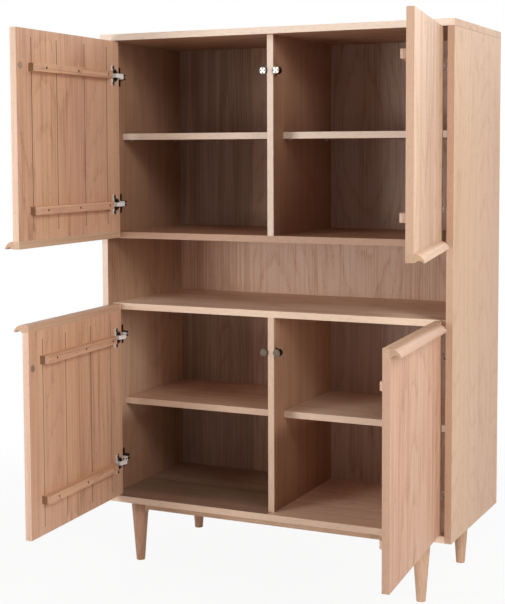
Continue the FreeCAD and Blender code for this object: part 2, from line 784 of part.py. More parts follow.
def mounting_plate(name, side, level):
    """The cross-shaped plate that a channel stands on, flat against the side panel, with its forked clip."""
    left = -inner_half_width if side < 0 else inner_half_width - size.plate_thickness
    clip_left = -inner_half_width if side < 0 else inner_half_width - size.clip_rise
    plate_back = front + size.plate_front + size.plate_length
    clip_front = front + size.arm_front + size.arm_length + size.clip_gap
    spine = box(f"{name}_spine", left, front + size.plate_front, level - size.plate_height / 2,
                size.plate_thickness, size.plate_length, size.plate_height)
    wings = box(f"{name}_wings", left, front + size.plate_front + size.wing_setback, level - size.wing_height / 2,
                size.plate_thickness, size.wing_length, size.wing_height)
    clip = box(f"{name}_clip", clip_left, clip_front, level - size.clip_height / 2,
               size.clip_rise, plate_back - clip_front, size.clip_height)
    slot_left = -inner_half_width + size.plate_thickness if side < 0 else inner_half_width - size.clip_rise - size.overrun
    slot = box(f"{name}_slot", slot_left, plate_back - size.clip_slot_length, level - size.clip_slot_height / 2,
               size.clip_rise - size.plate_thickness + size.overrun, size.clip_slot_length + size.overrun,
               size.clip_slot_height)
    return cut(name, fuse(f"{name}_blank", [spine, wings, clip]), [slot])


def catch(name, side, level):
    """A round catch with a flat foot on the partition, and the magnet in its face."""
    catch_front = front + size.door_thickness + size.strike_stand + size.catch_gap
    x = catch_axis * side
    barrel = cylinder(f"{name}_barrel", "y", x, catch_front, level, size.catch_radius, size.catch_length)
    foot_left = half_panel if side > 0 else -half_panel - size.catch_foot_thickness
    foot_front = size.divider_setback - size.door_thickness - size.strike_stand - size.catch_gap
    foot = box(f"{name}_foot", foot_left, catch_front + foot_front, level - size.catch_foot_height / 2,
               size.catch_foot_thickness, size.catch_length - foot_front, size.catch_foot_height)
    seat = cylinder(f"{name}_seat", "y", x, catch_front - size.overrun, level,
                    size.magnet_radius + size.hole_clearance, size.magnet_depth + size.overrun)
    magnet = cylinder(f"{name}_magnet", "y", x, catch_front, level, size.magnet_radius, size.magnet_depth)
    return cut(name, fuse(f"{name}_solid", [barrel, foot]), [seat]), magnet


plates = []
catches = []
magnets = []
for side, side_name in ((-1, "left"), (1, "right")):
    for room_name in levels:
        prefix = f"{room_name}_{side_name}_door"
        angle = getattr(size, f"{room_name}_{side_name}_open_degrees")
        cuts = door_battens(prefix, side, angle, room_name)
        cuts += hinge_cups(prefix, side, angle, room_name)
        cuts.append(strike_disc(prefix, side, angle, levels[room_name]["catch"]))
        door_board(f"{prefix}_board", side, angle, room_name, cuts)
        lip_rail(f"{prefix}_lip_rail", side, angle, levels[room_name]["lip"])
        hinge_links(prefix, side, angle, room_name)
        hinge_arms(prefix, side, room_name)
        for band, level in enumerate(levels[room_name]["bands"]):
            plates.append(mounting_plate(f"{prefix}_plate_{band}", side, level))
        housing, magnet = catch(f"{prefix}_catch", side, levels[room_name]["catch"])
        catches.append(housing)
        magnets.append(magnet)
keep("hinge_plates", group("hinge_plates", plates))
keep("door_catches", group("door_catches", catches))
keep("catch_magnets", group("catch_magnets", magnets))

doc.recompute()

# Nothing is written unless every object came out sound
for item in doc.Objects:
    if "Invalid" in item.State or "Error" in item.State:
        raise RuntimeError(f"{item.Label} failed: {item.State}")
for node, piece in nodes.items():
    if piece.Shape.isNull() or not piece.Shape.isValid():
        raise RuntimeError(f"{node} has no sound shape")

os.makedirs("parts", exist_ok=True)
for node, piece in nodes.items():
    piece.Shape.exportStep(f"parts/{node}.step")
print(len(nodes), "sub-parts written")
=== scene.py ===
import json
import math

import bmesh
import bpy
from mathutils import Matrix, Vector


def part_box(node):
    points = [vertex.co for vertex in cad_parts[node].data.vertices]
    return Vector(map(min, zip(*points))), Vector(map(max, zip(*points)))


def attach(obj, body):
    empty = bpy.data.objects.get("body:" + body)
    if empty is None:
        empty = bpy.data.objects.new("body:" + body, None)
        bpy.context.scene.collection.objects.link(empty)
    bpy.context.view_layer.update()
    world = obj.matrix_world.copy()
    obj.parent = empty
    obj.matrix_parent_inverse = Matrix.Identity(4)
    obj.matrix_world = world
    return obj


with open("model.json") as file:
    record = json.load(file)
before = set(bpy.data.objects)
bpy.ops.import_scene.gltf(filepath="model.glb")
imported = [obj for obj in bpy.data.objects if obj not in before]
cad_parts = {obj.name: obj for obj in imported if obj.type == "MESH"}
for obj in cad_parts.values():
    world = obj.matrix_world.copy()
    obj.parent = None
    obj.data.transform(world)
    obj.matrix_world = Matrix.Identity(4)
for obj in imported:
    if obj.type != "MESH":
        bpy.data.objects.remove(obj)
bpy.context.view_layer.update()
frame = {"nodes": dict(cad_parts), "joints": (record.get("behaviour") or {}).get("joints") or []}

# The cabinet is oak with nickel and bronzed hardware. Lengths are metres in the cabinet's own frame:
# X to the right, Y to the back, Z up from the floor.
X, Y, Z = range(3)


class Signal:
    """A socket's value. Arithmetic on it adds Math nodes to the tree that it belongs to."""

    def __init__(self, graph, socket):
        self.graph = graph
        self.socket = socket

    def maths(self, operation, *values):
        return self.graph.node("Math", {"operation": operation}, dict(enumerate(values)))

    def __add__(self, other):
        return self.maths("ADD", self, other)

    def __radd__(self, other):
        return self.maths("ADD", other, self)

    def __sub__(self, other):
        return self.maths("SUBTRACT", self, other)

    def __rsub__(self, other):
        return self.maths("SUBTRACT", other, self)

    def __mul__(self, other):
        return self.maths("MULTIPLY", self, other)

    def __truediv__(self, other):
        return self.maths("DIVIDE", self, other)

    def whole(self):
        return self.maths("FLOOR", self)

    def part(self):
        return self.maths("FRACT", self)

    def root(self):
        return self.maths("SQRT", self)

    def size(self):
        return self.maths("ABSOLUTE", self)

    def highest(self, other):
        return self.maths("MAXIMUM", self, other)

    def centred(self):
        """A value from 0 to 1, counted from its middle."""
        return self - 0.5

    def span(self, low, high, to_low=0.0, to_high=1.0):
        """The value carried from one range to another, smooth at both ends."""
        return self.graph.node("MapRange", {"interpolation_type": "SMOOTHSTEP"},
                               {0: self, 1: low, 2: high, 3: to_low, 4: to_high})

    def fall(self, low, high):
        """1 up to the low value and 0 from the high one, smooth between them."""
        return self.span(low, high, 1.0, 0.0)


class Graph:
    """A node tree, and the nodes that are added to it."""

    def __init__(self, tree):
        self.tree = tree

    def node(self, kind, settings=(), inputs=(), output=0):
        """One node: its settings first, then the values or links of its sockets."""
        made = self.tree.nodes.new(f"ShaderNode{kind}")
        for name, value in dict(settings).items():
            setattr(made, name, value)
        for socket, value in dict(inputs).items():
            self.feed(made.inputs[socket], value)
        return Signal(self, made.outputs[output])

    def feed(self, socket, value):
        """Links a signal to a socket, or sets a plain value there."""
        if isinstance(value, Signal):
            self.tree.links.new(value.socket, socket)
        else:
            socket.default_value = value

    def direct_rays(self):
        """1 for rays that come straight from the camera, or by a shiny or a clear surface."""
        camera, shiny, clear = (self.node("LightPath", {}, {}, f"Is {kind} Ray")
                                for kind in ("Camera", "Glossy", "Transmission"))
        return camera.highest(shiny).highest(clear)


class Finish(Graph):
    """A material with one Principled shader, and the nodes that feed it."""

    def __init__(self, name, constants=()):
        self.material = bpy.data.materials.new(name)
        self.material.use_nodes = True
        super().__init__(self.material.node_tree)
        self.shader = self.tree.nodes["Principled BSDF"]
        for socket, value in dict(constants).items():
            self.shader.inputs[socket].default_value = value

    def mix(self, factor, first, second):
        """Two colours mixed by a factor."""
        return self.node("Mix", {"data_type": "RGBA"}, {0: factor, 6: first, 7: second}, 2)

    def noise(self, vector, detail, roughness=0.5, scale=1.0):
        return self.node("TexNoise", {}, {"Vector": vector, "Scale": scale, "Detail": detail,
                                          "Roughness": roughness})

    def chance(self, number):
        """A steady random number from 0 to 1 for each value of a whole number."""
        return self.node("TexWhiteNoise", {"noise_dimensions": "1D"}, {"W": number})

    def vector(self, x, y, z):
        return self.node("CombineXYZ", {}, {0: x, 1: y, 2: z})

    def axes(self, reading, centre, turn):
        """One of the object's own readings, counted from a centre in axes turned about the upright."""
        texture = self.node("TexCoord", {}, {}, reading)
        moved = self.node("Mapping", {"vector_type": "TEXTURE"},
                          {"Vector": texture, "Location": centre, "Rotation": (0, 0, turn)})
        return [self.node("SeparateXYZ", {}, {0: moved}, axis) for axis in (X, Y, Z)]

    def place(self, centre=(0, 0, 0), turn=0.0):
        return self.axes("Object", centre, turn)

    def facing(self, turn):
        return self.axes("Normal", (0, 0, 0), turn)

    def coat(self, colour, roughness, height, depth, strength):
        """Joins the finished colour, roughness and relief to the shader, and gives the material."""
        bump = self.node("Bump", {}, {"Height": height, "Distance": depth, "Strength": strength})
        self.feed(self.shader.inputs["Base Color"], colour)
        self.feed(self.shader.inputs["Roughness"], roughness)
        self.feed(self.shader.inputs["Normal"], bump)
        return self.material


def srgb(red, green, blue):
    """A colour written as it looks on a screen, in the shader's own light values."""
    light = (((c + 0.055) / 1.055) ** 2.4 if c > 0.04045 else c / 12.92 for c in (red, green, blue))
    return (*light, 1.0)


def shades(*colours):
    return tuple(srgb(*colour) for colour in colours)


# Oak tones, each as its light, middle and dark wood. The outer tones are the oak itself and the rosy ones
# the lower doors' redder oak. The others are lighter or darker copies of it that paint light and shade:
# the room, dim, shaded and back tones are painted shade in the rooms, under the top and on the left legs,
# the shelf, pale shelf and pale niche tones are painted light on the niche, the bottom, the lower shelves
# and the right doors' battens, and the doors' warmer inner tones are partly painted bounce light.
OUTER_OAK = shades((0.870, 0.752, 0.642), (0.815, 0.670, 0.548), (0.710, 0.553, 0.435))
ROSY_OAK = shades((0.870, 0.722, 0.620), (0.815, 0.642, 0.527), (0.700, 0.522, 0.415))
DOOR_OAK = shades((0.912, 0.750, 0.618), (0.855, 0.672, 0.545), (0.720, 0.538, 0.422))
ROOM_SHADE_OAK = shades((0.750, 0.585, 0.465), (0.685, 0.515, 0.400), (0.560, 0.400, 0.305))
DIM_OAK = shades((0.670, 0.525, 0.410), (0.610, 0.460, 0.350), (0.500, 0.360, 0.270))
SHELF_OAK = shades((0.930, 0.810, 0.700), (0.880, 0.730, 0.610), (0.780, 0.610, 0.490))
LIT_PALE_OAK = shades((0.955, 0.860, 0.770), (0.925, 0.790, 0.690), (0.830, 0.670, 0.560))
PALE_SHELF_OAK = shades((0.990, 0.940, 0.860), (0.975, 0.870, 0.770), (0.890, 0.750, 0.640))
SHADED_OAK = shades((0.610, 0.515, 0.437), (0.555, 0.453, 0.376), (0.455, 0.352, 0.287))
BACK_SHADE_OAK = shades((0.760, 0.660, 0.600), (0.700, 0.590, 0.520), (0.600, 0.480, 0.400))

# Tones of the lippings on the boards' edges. The first is the lipping itself. The next two are lighter
# copies, painted light on brightly lit edges; the honey and tan ones are darker copies, painted shade,
# as on the right side's front edge beside the open right doors. The tan one also darkens the right doors'
# edges.
PALE_LIP = srgb(0.935, 0.845, 0.785)
LIT_LIP = srgb(0.990, 0.915, 0.845)
CREAM_LIP = srgb(0.990, 0.890, 0.790)
HONEY_LIP = srgb(0.900, 0.785, 0.690)
TAN_LIP = srgb(0.765, 0.620, 0.525)

# Tones of single features, and how far each covers the wood
STAVE_BLUSH = srgb(0.82, 0.64, 0.56)
STAVE_BLUSH_COVER = 0.30
LIPPING_COVER = 0.8
END_GRAIN = srgb(0.520, 0.385, 0.270)
# The kerf shade is painted shade inside the doors' grooves; it also colours the dark joint line under the top.
KERF_SHADE = srgb(0.560, 0.385, 0.290)
OAK_PORE = srgb(0.470, 0.330, 0.250)
PORE_COVER = 0.5

# The grain's patterns: waves to the metre across and along the grain, detail, and roughness where it is set
WANDER = (1.6, 0.8, 1.0)
RIPPLE = (60.0, 2.0, 2.0)
STREAK = (42.0, 0.7, 3.0, 0.6)
LINE = (260.0, 2.6, 3.0, 0.6)
CLOUD = (6.0, 1.3, 2.0)
SPECK = (1250.0, 62.0, 1.0)

# The pith behind a stave: its least depth, and what chance, slant and wander add to its place
PITH_DEPTH = 0.036
PITH_CHANCE = 0.10
PITH_ASIDE = 0.10
PITH_SLANT = 0.06
PITH_WANDER = 0.08
WANDER_STEP = 9.0
RING_WIDTH = 0.0052
RIPPLE_SHARE = 0.8

# Within one ring, where the early wood fades in and where it ends, and which specks are pores
EARLY_WOOD_START = (0.0, 0.08)
EARLY_WOOD_END = (0.0, 0.45)
PORE_SPECKS = (0.60, 0.68)
LATE_PORES = 0.35

# How strongly each pattern lightens or darkens the wood about its middle level
MIDDLE_LEVEL = 0.54
STREAK_WEIGHT = 0.85
LINE_WEIGHT = 1.35
CLOUD_WEIGHT = 0.5
STAVE_WEIGHT = 0.22
RING_WEIGHT = 0.16
DARK_TO_MIDDLE = (0.10, 0.55)
MIDDLE_TO_LIGHT = (0.40, 0.95)
CUT_END_FACING = (0.52, 1.0)
CARCASS_FIGURE = 0.85

# How far each pattern roughens the surface and raises or sinks it
OAK_SHINE = 0.42
OAK_ROUGHNESS = 0.50
LINE_ROUGHNESS = 0.16
PORE_ROUGHNESS = 0.22
RING_ROUGHNESS = 0.05
LINE_RELIEF = 0.35
PORE_RELIEF = 0.8
RING_RELIEF = 0.15
OAK_RELIEF = 0.0004
OAK_RELIEF_STRENGTH = 0.6

# Steps that set one board's grain, and one stave's second chance, apart from the others
SEED_ALONG = 3.1
SEED_STAVE = 17.3
SECOND_CHANCE = 5.7

# Which axes run along the grain, across the board's face and through its thickness
UPRIGHT_FACING_X = (Z, Y, X)
UPRIGHT_FACING_Y = (Z, X, Y)
LEVEL_ALONG_X = (X, Y, Z)
BAR_ALONG_X = (X, Z, Y)
BAR_ALONG_Y = (Y, Z, X)


def oak(name, axes, stave, seed, centre=(0, 0, 0), turn=0.0, tone=0.0, stave_start=0.0,
        tones=OUTER_OAK, inner=None, inner_tones=ROOM_SHADE_OAK, lipping=None, lipping_tone=PALE_LIP,
        kerf=None, figure=CARCASS_FIGURE, ends=0.0):
    """Oiled oak cut from staves of one width, with growth rings, streaks and open pores along the grain.

    The rings are circles round a pith that lies behind each stave, a little out of line with it, so they
    come out as tall arches on the face and as lines on the edges. The masks take the place as X, Y and Z
    and give 1 where a face has its inner tones, is lipped or lies inside a kerf. The inner and lipping tones
    are mostly lighter or darker copies of the wood that paint light and shade, and the kerf colour paints
    the shade inside the grooves as well as a dark joint line. The figure says how strongly the streaks and
    rings show, the ends how dark the sawn ends are."""
    finish = Finish(name, {"Specular IOR Level": OAK_SHINE})
    place = finish.place(centre, turn)
    along, across, through = (place[axis] for axis in axes)
    along = along + SEED_ALONG * seed
    stave_number = ((across + stave_start) / stave).whole()
    luck = finish.chance(stave_number + SEED_STAVE * seed)
    more_luck = finish.chance(stave_number + SEED_STAVE * seed + SECOND_CHANCE)
    middle = across + stave_start - (stave_number + 0.5) * stave

    def pattern(across_rate, along_rate, detail, roughness=0.5, step=None):
        drawn = along * along_rate
        if step is not None:
            drawn = drawn + step
        waves = finish.vector(across * across_rate, through * across_rate, drawn)
        return finish.noise(waves, detail, roughness)

    # rings round the pith
    wander = pattern(*WANDER, step=luck * WANDER_STEP)
    slant = along * more_luck.centred() * PITH_SLANT
    depth = PITH_DEPTH + luck * PITH_CHANCE + through + slant + wander.centred() * PITH_WANDER
    aside = middle + more_luck.centred() * PITH_ASIDE
    radius = (aside * aside + depth * depth).root()
    rings = (radius / RING_WIDTH + pattern(*RIPPLE) * RIPPLE_SHARE).part()
    early_wood = rings.fall(*EARLY_WOOD_END) * rings.span(*EARLY_WOOD_START)

    # soft streaks and fine lines along the grain
    streak = pattern(*STREAK)
    line = pattern(*LINE)
    cloud = pattern(*CLOUD)

    # open pores, thickest in the early wood
    pore = pattern(*SPECK).span(*PORE_SPECKS) * (LATE_PORES + early_wood * (1 - LATE_PORES))

    drawing = (streak.centred() * STREAK_WEIGHT + line.centred() * LINE_WEIGHT
               + cloud.centred() * CLOUD_WEIGHT + luck.centred() * STAVE_WEIGHT - early_wood * RING_WEIGHT)
    level = MIDDLE_LEVEL + tone + drawing * figure
    light, warm, dark = tones
    # Lighter or darker tones over the masked faces: mostly painted light and shade.
    if inner is not None:
        light, warm, dark = (finish.mix(inner(place), *pair) for pair in zip(tones, inner_tones))
    colour = finish.mix(level.span(*DARK_TO_MIDDLE), dark, warm)
    colour = finish.mix(level.span(*MIDDLE_TO_LIGHT), colour, light)
    colour = finish.mix(more_luck * STAVE_BLUSH_COVER, colour, STAVE_BLUSH)
    cut_end = finish.facing(turn)[axes[0]].size().span(*CUT_END_FACING)
    # The lipping tone on the edges, on many boards lightened as painted light and on others darkened as
    # painted shade.
    if lipping is not None:
        lipped = lipping(place)
        colour = finish.mix(lipped * LIPPING_COVER, colour, lipping_tone)
        cut_end = cut_end * (1.0 - lipped)
    colour = finish.mix(cut_end * ends, colour, END_GRAIN)
    # Painted shade inside the kerfs, and the dark joint line under the top.
    if kerf is not None:
        colour = finish.mix(kerf(place), colour, KERF_SHADE)
    colour = finish.mix(pore * PORE_COVER, colour, OAK_PORE)
    roughness = (OAK_ROUGHNESS + line.centred() * LINE_ROUGHNESS + pore * PORE_ROUGHNESS
                 + early_wood * RING_ROUGHNESS)
    height = line.centred() * LINE_RELIEF - pore * PORE_RELIEF - early_wood * RING_RELIEF
    return finish.coat(colour, roughness, height, OAK_RELIEF, OAK_RELIEF_STRENGTH)


# Metal's scratches and smudges, in waves to the metre, and how far each roughens the surface
SCRATCH_RATE = 900.0
SMUDGE_RATE = 55.0
SMUDGE_FADE = (0.35, 0.7)
SCRATCH_ROUGHNESS = 0.18
SMUDGE_ROUGHNESS = 0.12
WEAR_DARKENS = 4
METAL_RELIEF = 0.00006
METAL_RELIEF_STRENGTH = 0.5


def metal(name, colour, roughness, wear=0.05, shine=1.0, parts=None, centre=(0, 0, 0), turn=0.0):
    """Plated or brushed metal with faint scratches and handling marks.

    Wear says how dark the handled places are, and parts mixes in a second colour by a mask."""
    finish = Finish(name, {"Metallic": shine})
    place = finish.place(centre, turn)
    scratch = finish.noise(finish.vector(*place), 3.0, 0.6, SCRATCH_RATE)
    smudge = finish.noise(finish.vector(*place), 2.0, scale=SMUDGE_RATE)
    darker = (*(c * (1 - wear * WEAR_DARKENS) for c in colour[:3]), 1.0)
    shade = finish.mix(smudge.span(*SMUDGE_FADE), darker, colour)
    if parts is not None:
        mask, other = parts
        shade = finish.mix(mask(place), shade, other)
    roughness = roughness + scratch.centred() * SCRATCH_ROUGHNESS + smudge.centred() * SMUDGE_ROUGHNESS
    return finish.coat(shade, roughness, scratch, METAL_RELIEF, METAL_RELIEF_STRENGTH)


# The carcass, measured from its boards
CARCASS_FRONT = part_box("top_panel")[0].y
DIVIDER_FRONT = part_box("niche_shelf")[0].y
SHELF_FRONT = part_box("upper_left_shelf")[0].y
PANEL_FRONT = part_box("right_side_panel")[0].y
LEFT_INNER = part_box("left_side_panel")[1].x
RIGHT_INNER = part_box("right_side_panel")[0].x
TOP_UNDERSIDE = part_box("top_panel")[0].z
FLOOR_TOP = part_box("bottom_panel")[1].z
NICHE_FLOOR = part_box("niche_shelf")[1].z
NICHE_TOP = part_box("upper_floor")[0].z
BACK_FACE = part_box("back_panel")[0].y
LOWER_SHELF_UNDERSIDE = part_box("lower_left_shelf")[0].z

# The depth within which a face's own tone gives way to the board's, on faces and on lipped edges
SKIN = 0.001
LIP_SKIN = 0.0004

PANEL_JOINT = (TOP_UNDERSIDE - 0.0011, TOP_UNDERSIDE - 0.00066)
PANEL_JOINT_COVER = 0.7
# Where painted shade fades in: heights on the left side's inner face and below the lower shelves, the reach
# round the partition on the left floor, and the fade round the niche on the back sheet.
UPPER_SHADE = (0.6, 1.0)
LOWER_SHADE = (LOWER_SHELF_UNDERSIDE - 0.07, LOWER_SHELF_UNDERSIDE)
PARTITION_REACH = 0.009
BACK_FADE = 0.004


def face_looking_up(reading, face):
    """Mask of a face, from just beneath it."""
    return reading.span(face - SKIN, face - SKIN / 2)


def face_looking_down(reading, face):
    """Mask of a face, from just within it."""
    return reading.fall(face + SKIN / 2, face + SKIN)


def front_lipping(front):
    """Mask of the edges that face the front, from their Y."""
    start = front + LIP_SKIN
    return lambda place: place[Y].fall(start, start + LIP_SKIN)


def under_top(place):
    """Mask of the fine dark line where a side panel meets the top."""
    return place[Z].span(*PANEL_JOINT) * PANEL_JOINT_COVER


def shadow_under_shelves(place):
    """Mask of the painted shadow in the lowest rooms, fading in below the shelves."""
    return place[Z].fall(*LOWER_SHADE)


def shaded_left_side_rooms(place):
    """Mask of the painted shade on the left side's inner face beside the upper and the lowest rooms."""
    return face_looking_up(place[X], LEFT_INNER) * place[Z].span(*UPPER_SHADE).highest(shadow_under_shelves(place))


def shaded_right_side_rooms(place):
    """Mask of the painted shade on the right side's inner face."""
    return face_looking_down(place[X], RIGHT_INNER)


def shaded_under_face_of_top(place):
    """Mask of the painted shade on the top's underside."""
    return face_looking_down(place[Z], TOP_UNDERSIDE)


def shaded_left_floor(place):
    """Mask of the painted shade on the bottom's upper face to the left of the partition."""
    return face_looking_up(place[Z], FLOOR_TOP) * place[X].fall(-PARTITION_REACH, PARTITION_REACH)


def shaded_under_niche_floor(place):
    """Mask of the painted shade on all of the niche's floor but its upper face."""
    return place[Z].fall(NICHE_FLOOR - SKIN, NICHE_FLOOR - SKIN / 2)


def shaded_back_of_rooms(place):
    """Mask of the painted shade on the back sheet in the rooms; its face in the niche keeps the lighter tones,
    painted light.
    """
    below = place[Z].fall(NICHE_FLOOR - BACK_FADE, NICHE_FLOOR)
    above = place[Z].span(NICHE_TOP, NICHE_TOP + BACK_FADE)
    return below.highest(above).highest(place[Y].span(BACK_FACE + SKIN, BACK_FACE + SKIN * 2))


# The doors, and which side each is hung on: -1 for the left and 1 for the right
joints = {joint["name"]: joint for joint in frame["joints"]}
DOORS = {f"{room}_{side_name}_door": side for side, side_name in ((-1, "left"), (1, "right"))
         for room in ("upper", "lower")}

# Widths of the staves that the boards are glued up from, and where the first one starts
CARCASS_STAVE = 0.155
SIDE_STAVE_START = 0.31
PARTITION_STAVE = 0.21
DIVIDER_STAVE = 0.145
BACK_STAVE = 0.265
SHELF_STAVE = 0.12
LEG_STAVE = 0.20
LEG_STAVE_START = 0.04
RAIL_STAVE = 0.10
DOOR_STAVE = 0.0886
LIP_RAIL_STAVE = 0.06
BAR_STAVE = 0.05


def dress(material, *node_names):
    """Gives pieces of the cabinet their finish."""
    for name in node_names:
        mesh = frame["nodes"][name].data
        mesh.materials.clear()
        mesh.materials.append(material)


# Each piece of the cabinet and its finish
carcass_lipping = front_lipping(CARCASS_FRONT)
divider_lipping = front_lipping(DIVIDER_FRONT)
shelf_lipping = front_lipping(SHELF_FRONT)

dress(oak("oak_left_side", UPRIGHT_FACING_X, CARCASS_STAVE, 1, stave_start=SIDE_STAVE_START,
          inner=shaded_left_side_rooms, inner_tones=DIM_OAK, lipping=carcass_lipping, kerf=under_top),
      "left_side_panel")
# The right side's tan front edge is painted shade, the shadow of the open right doors.
dress(oak("oak_right_side", UPRIGHT_FACING_X, CARCASS_STAVE, 2, stave_start=SIDE_STAVE_START, tone=0.04,
          inner=shaded_right_side_rooms, lipping=carcass_lipping, lipping_tone=TAN_LIP, kerf=under_top, figure=0.5),
      "right_side_panel")
# The top's lighter edge, the bottom's lighter tones and honey edge, the dim upper partition with its lighter
# edge, the lower partition's honey edge, the niche shelf's lighter tones and cream edge, the upper floor's
# room tones and tan edge and the back's lighter niche face are painted light and shade.
dress(oak("oak_top", LEVEL_ALONG_X, CARCASS_STAVE, 6, inner=shaded_under_face_of_top,
          lipping=carcass_lipping, lipping_tone=LIT_LIP),
      "top_panel")
dress(oak("oak_bottom", LEVEL_ALONG_X, CARCASS_STAVE, 7, tones=LIT_PALE_OAK, inner=shaded_left_floor,
          inner_tones=SHADED_OAK, lipping=carcass_lipping, lipping_tone=HONEY_LIP),
      "bottom_panel")
dress(oak("oak_upper_partition", UPRIGHT_FACING_X, PARTITION_STAVE, 3, tones=DIM_OAK,
          lipping=divider_lipping, lipping_tone=LIT_LIP),
      "upper_partition")
dress(oak("oak_lower_partition", UPRIGHT_FACING_X, PARTITION_STAVE, 4, inner=shadow_under_shelves,
          inner_tones=DIM_OAK, lipping=divider_lipping, lipping_tone=HONEY_LIP),
      "lower_partition")
dress(oak("oak_niche_shelf", LEVEL_ALONG_X, DIVIDER_STAVE, 8, tones=PALE_SHELF_OAK, inner=shaded_under_niche_floor,
          lipping=divider_lipping, lipping_tone=CREAM_LIP),
      "niche_shelf")
dress(oak("oak_upper_floor", LEVEL_ALONG_X, DIVIDER_STAVE, 9, tones=ROOM_SHADE_OAK,
          lipping=divider_lipping, lipping_tone=TAN_LIP),
      "upper_floor")
dress(oak("oak_back", UPRIGHT_FACING_Y, BACK_STAVE, 5, tone=-0.04, tones=LIT_PALE_OAK, inner=shaded_back_of_rooms,
          inner_tones=BACK_SHADE_OAK, figure=1.25),
      "back_panel")
# The upper shelves take the rooms' darker tones and the lower ones lighter tones, with lighter or darker
# lipping: painted light and shade.
for seed, name, wood, lip in ((10, "upper_left_shelf", ROOM_SHADE_OAK, LIT_LIP),
                              (11, "upper_right_shelf", ROOM_SHADE_OAK, LIT_LIP),
                              (12, "lower_left_shelf", SHELF_OAK, HONEY_LIP),
                              (13, "lower_right_shelf", PALE_SHELF_OAK, HONEY_LIP)):
    dress(oak(f"oak_{name}", LEVEL_ALONG_X, SHELF_STAVE, seed, tones=wood, lipping=shelf_lipping,
              lipping_tone=lip), name)
# The left legs take the rooms' darker tones: painted shade.
for seed, name, wood in ((14, "front_left_leg", ROOM_SHADE_OAK), (15, "front_right_leg", OUTER_OAK),
                         (16, "rear_left_leg", ROOM_SHADE_OAK), (17, "rear_right_leg", OUTER_OAK)):
    dress(oak(f"oak_{name}", UPRIGHT_FACING_Y, LEG_STAVE, seed, stave_start=LEG_STAVE_START, tones=wood), name)
dress(oak("oak_long_rails", BAR_ALONG_X, RAIL_STAVE, 18), "front_rail", "rear_rail")
dress(oak("oak_short_rails", BAR_ALONG_Y, RAIL_STAVE, 19), "left_rail", "right_rail")

nickel = metal("nickel_plate", srgb(0.90, 0.89, 0.87), roughness=0.34)
# Nearly white and hardly metallic, the hinges' arms and links show a painted reflection of bright light.
white_reflection_nickel = metal("nickel_painted_reflection", srgb(1.0, 0.995, 0.985), roughness=0.40, wear=0.0, shine=0.1)
strike_metal = metal("satin_strike", srgb(0.68, 0.56, 0.49), roughness=0.50, shine=0.2)
bronze = metal("bronzed_steel", srgb(0.30, 0.25, 0.21), roughness=0.42, wear=0.08)
black_screw = metal("blackened_screw", srgb(0.24, 0.16, 0.13), roughness=0.45, wear=0.08)
zinc = metal("zinc_plate", srgb(0.70, 0.71, 0.72), roughness=0.34)

CATCH_AXIS = 0.0205
CATCH_HALF_HEIGHT = 0.013
CATCH_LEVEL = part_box("door_catches")[1].z - CATCH_HALF_HEIGHT
CATCH_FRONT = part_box("door_catches")[0].y
CATCH_FACE_RADIUS = 0.0094
CATCH_FACE_DEPTH = 0.0002


def upper_catch_faces(place):
    """Mask of the pale discs in the upper catches' faces."""
    aside = place[X].size() - CATCH_AXIS
    rise = place[Z] - CATCH_LEVEL
    reach = (aside * aside + rise * rise).root()
    disc = reach.fall(CATCH_FACE_RADIUS - LIP_SKIN, CATCH_FACE_RADIUS)
    return disc * place[Y].fall(CATCH_FRONT + CATCH_FACE_DEPTH, CATCH_FRONT + CATCH_FACE_DEPTH * 2)


catch_metal = metal("bronzed_catches", srgb(0.36, 0.31, 0.27), roughness=0.40, wear=0.06,
                    parts=(upper_catch_faces, srgb(0.46, 0.44, 0.42)))
magnet_face = metal("magnet_face", srgb(0.36, 0.33, 0.29), roughness=0.45)

# The doors' own coordinates: X from the pivot along the shut door, Y from the outer face inwards, Z up.
# A pair of values is where a mask starts to change and where it has changed.
HINGE_EDGE = -0.0158
DOOR_WIDTH = 0.527
INNER_FACE = 0.0158
EDGE_SKIN = 0.0003
KERFS = (0.070, 0.192, 0.335, 0.457)
KERF_SIDE = (0.0016, 0.0020)
KERF_DEPTH = 0.008
KERF_FLOOR = (INNER_FACE - KERF_DEPTH - 0.0006, INNER_FACE - KERF_DEPTH - 0.0002)
KERF_MOUTH = (INNER_FACE - 0.0012, INNER_FACE - 0.0004)
KERF_STOP = 0.021
KERF_STOP_AT_LIP = 0.024
LEFT_DOOR_LIPPING = 0.35
FLANGE_HALF = (HINGE_EDGE + 0.0350, HINGE_EDGE + 0.0356)
LEFT_DOOR_TONE = 0.05
# The right doors' darker tone is painted shade, evening out the strong lamp light on them.
RIGHT_DOOR_TONE = -0.10
# The cup metal's dark colour is a painted dark reflection, and the pale colour on the flange's outer half a
# painted highlight.
CUP_DARK_REFLECTION = srgb(0.34, 0.31, 0.28)
FLANGE_HIGHLIGHT = srgb(0.97, 0.95, 0.92)


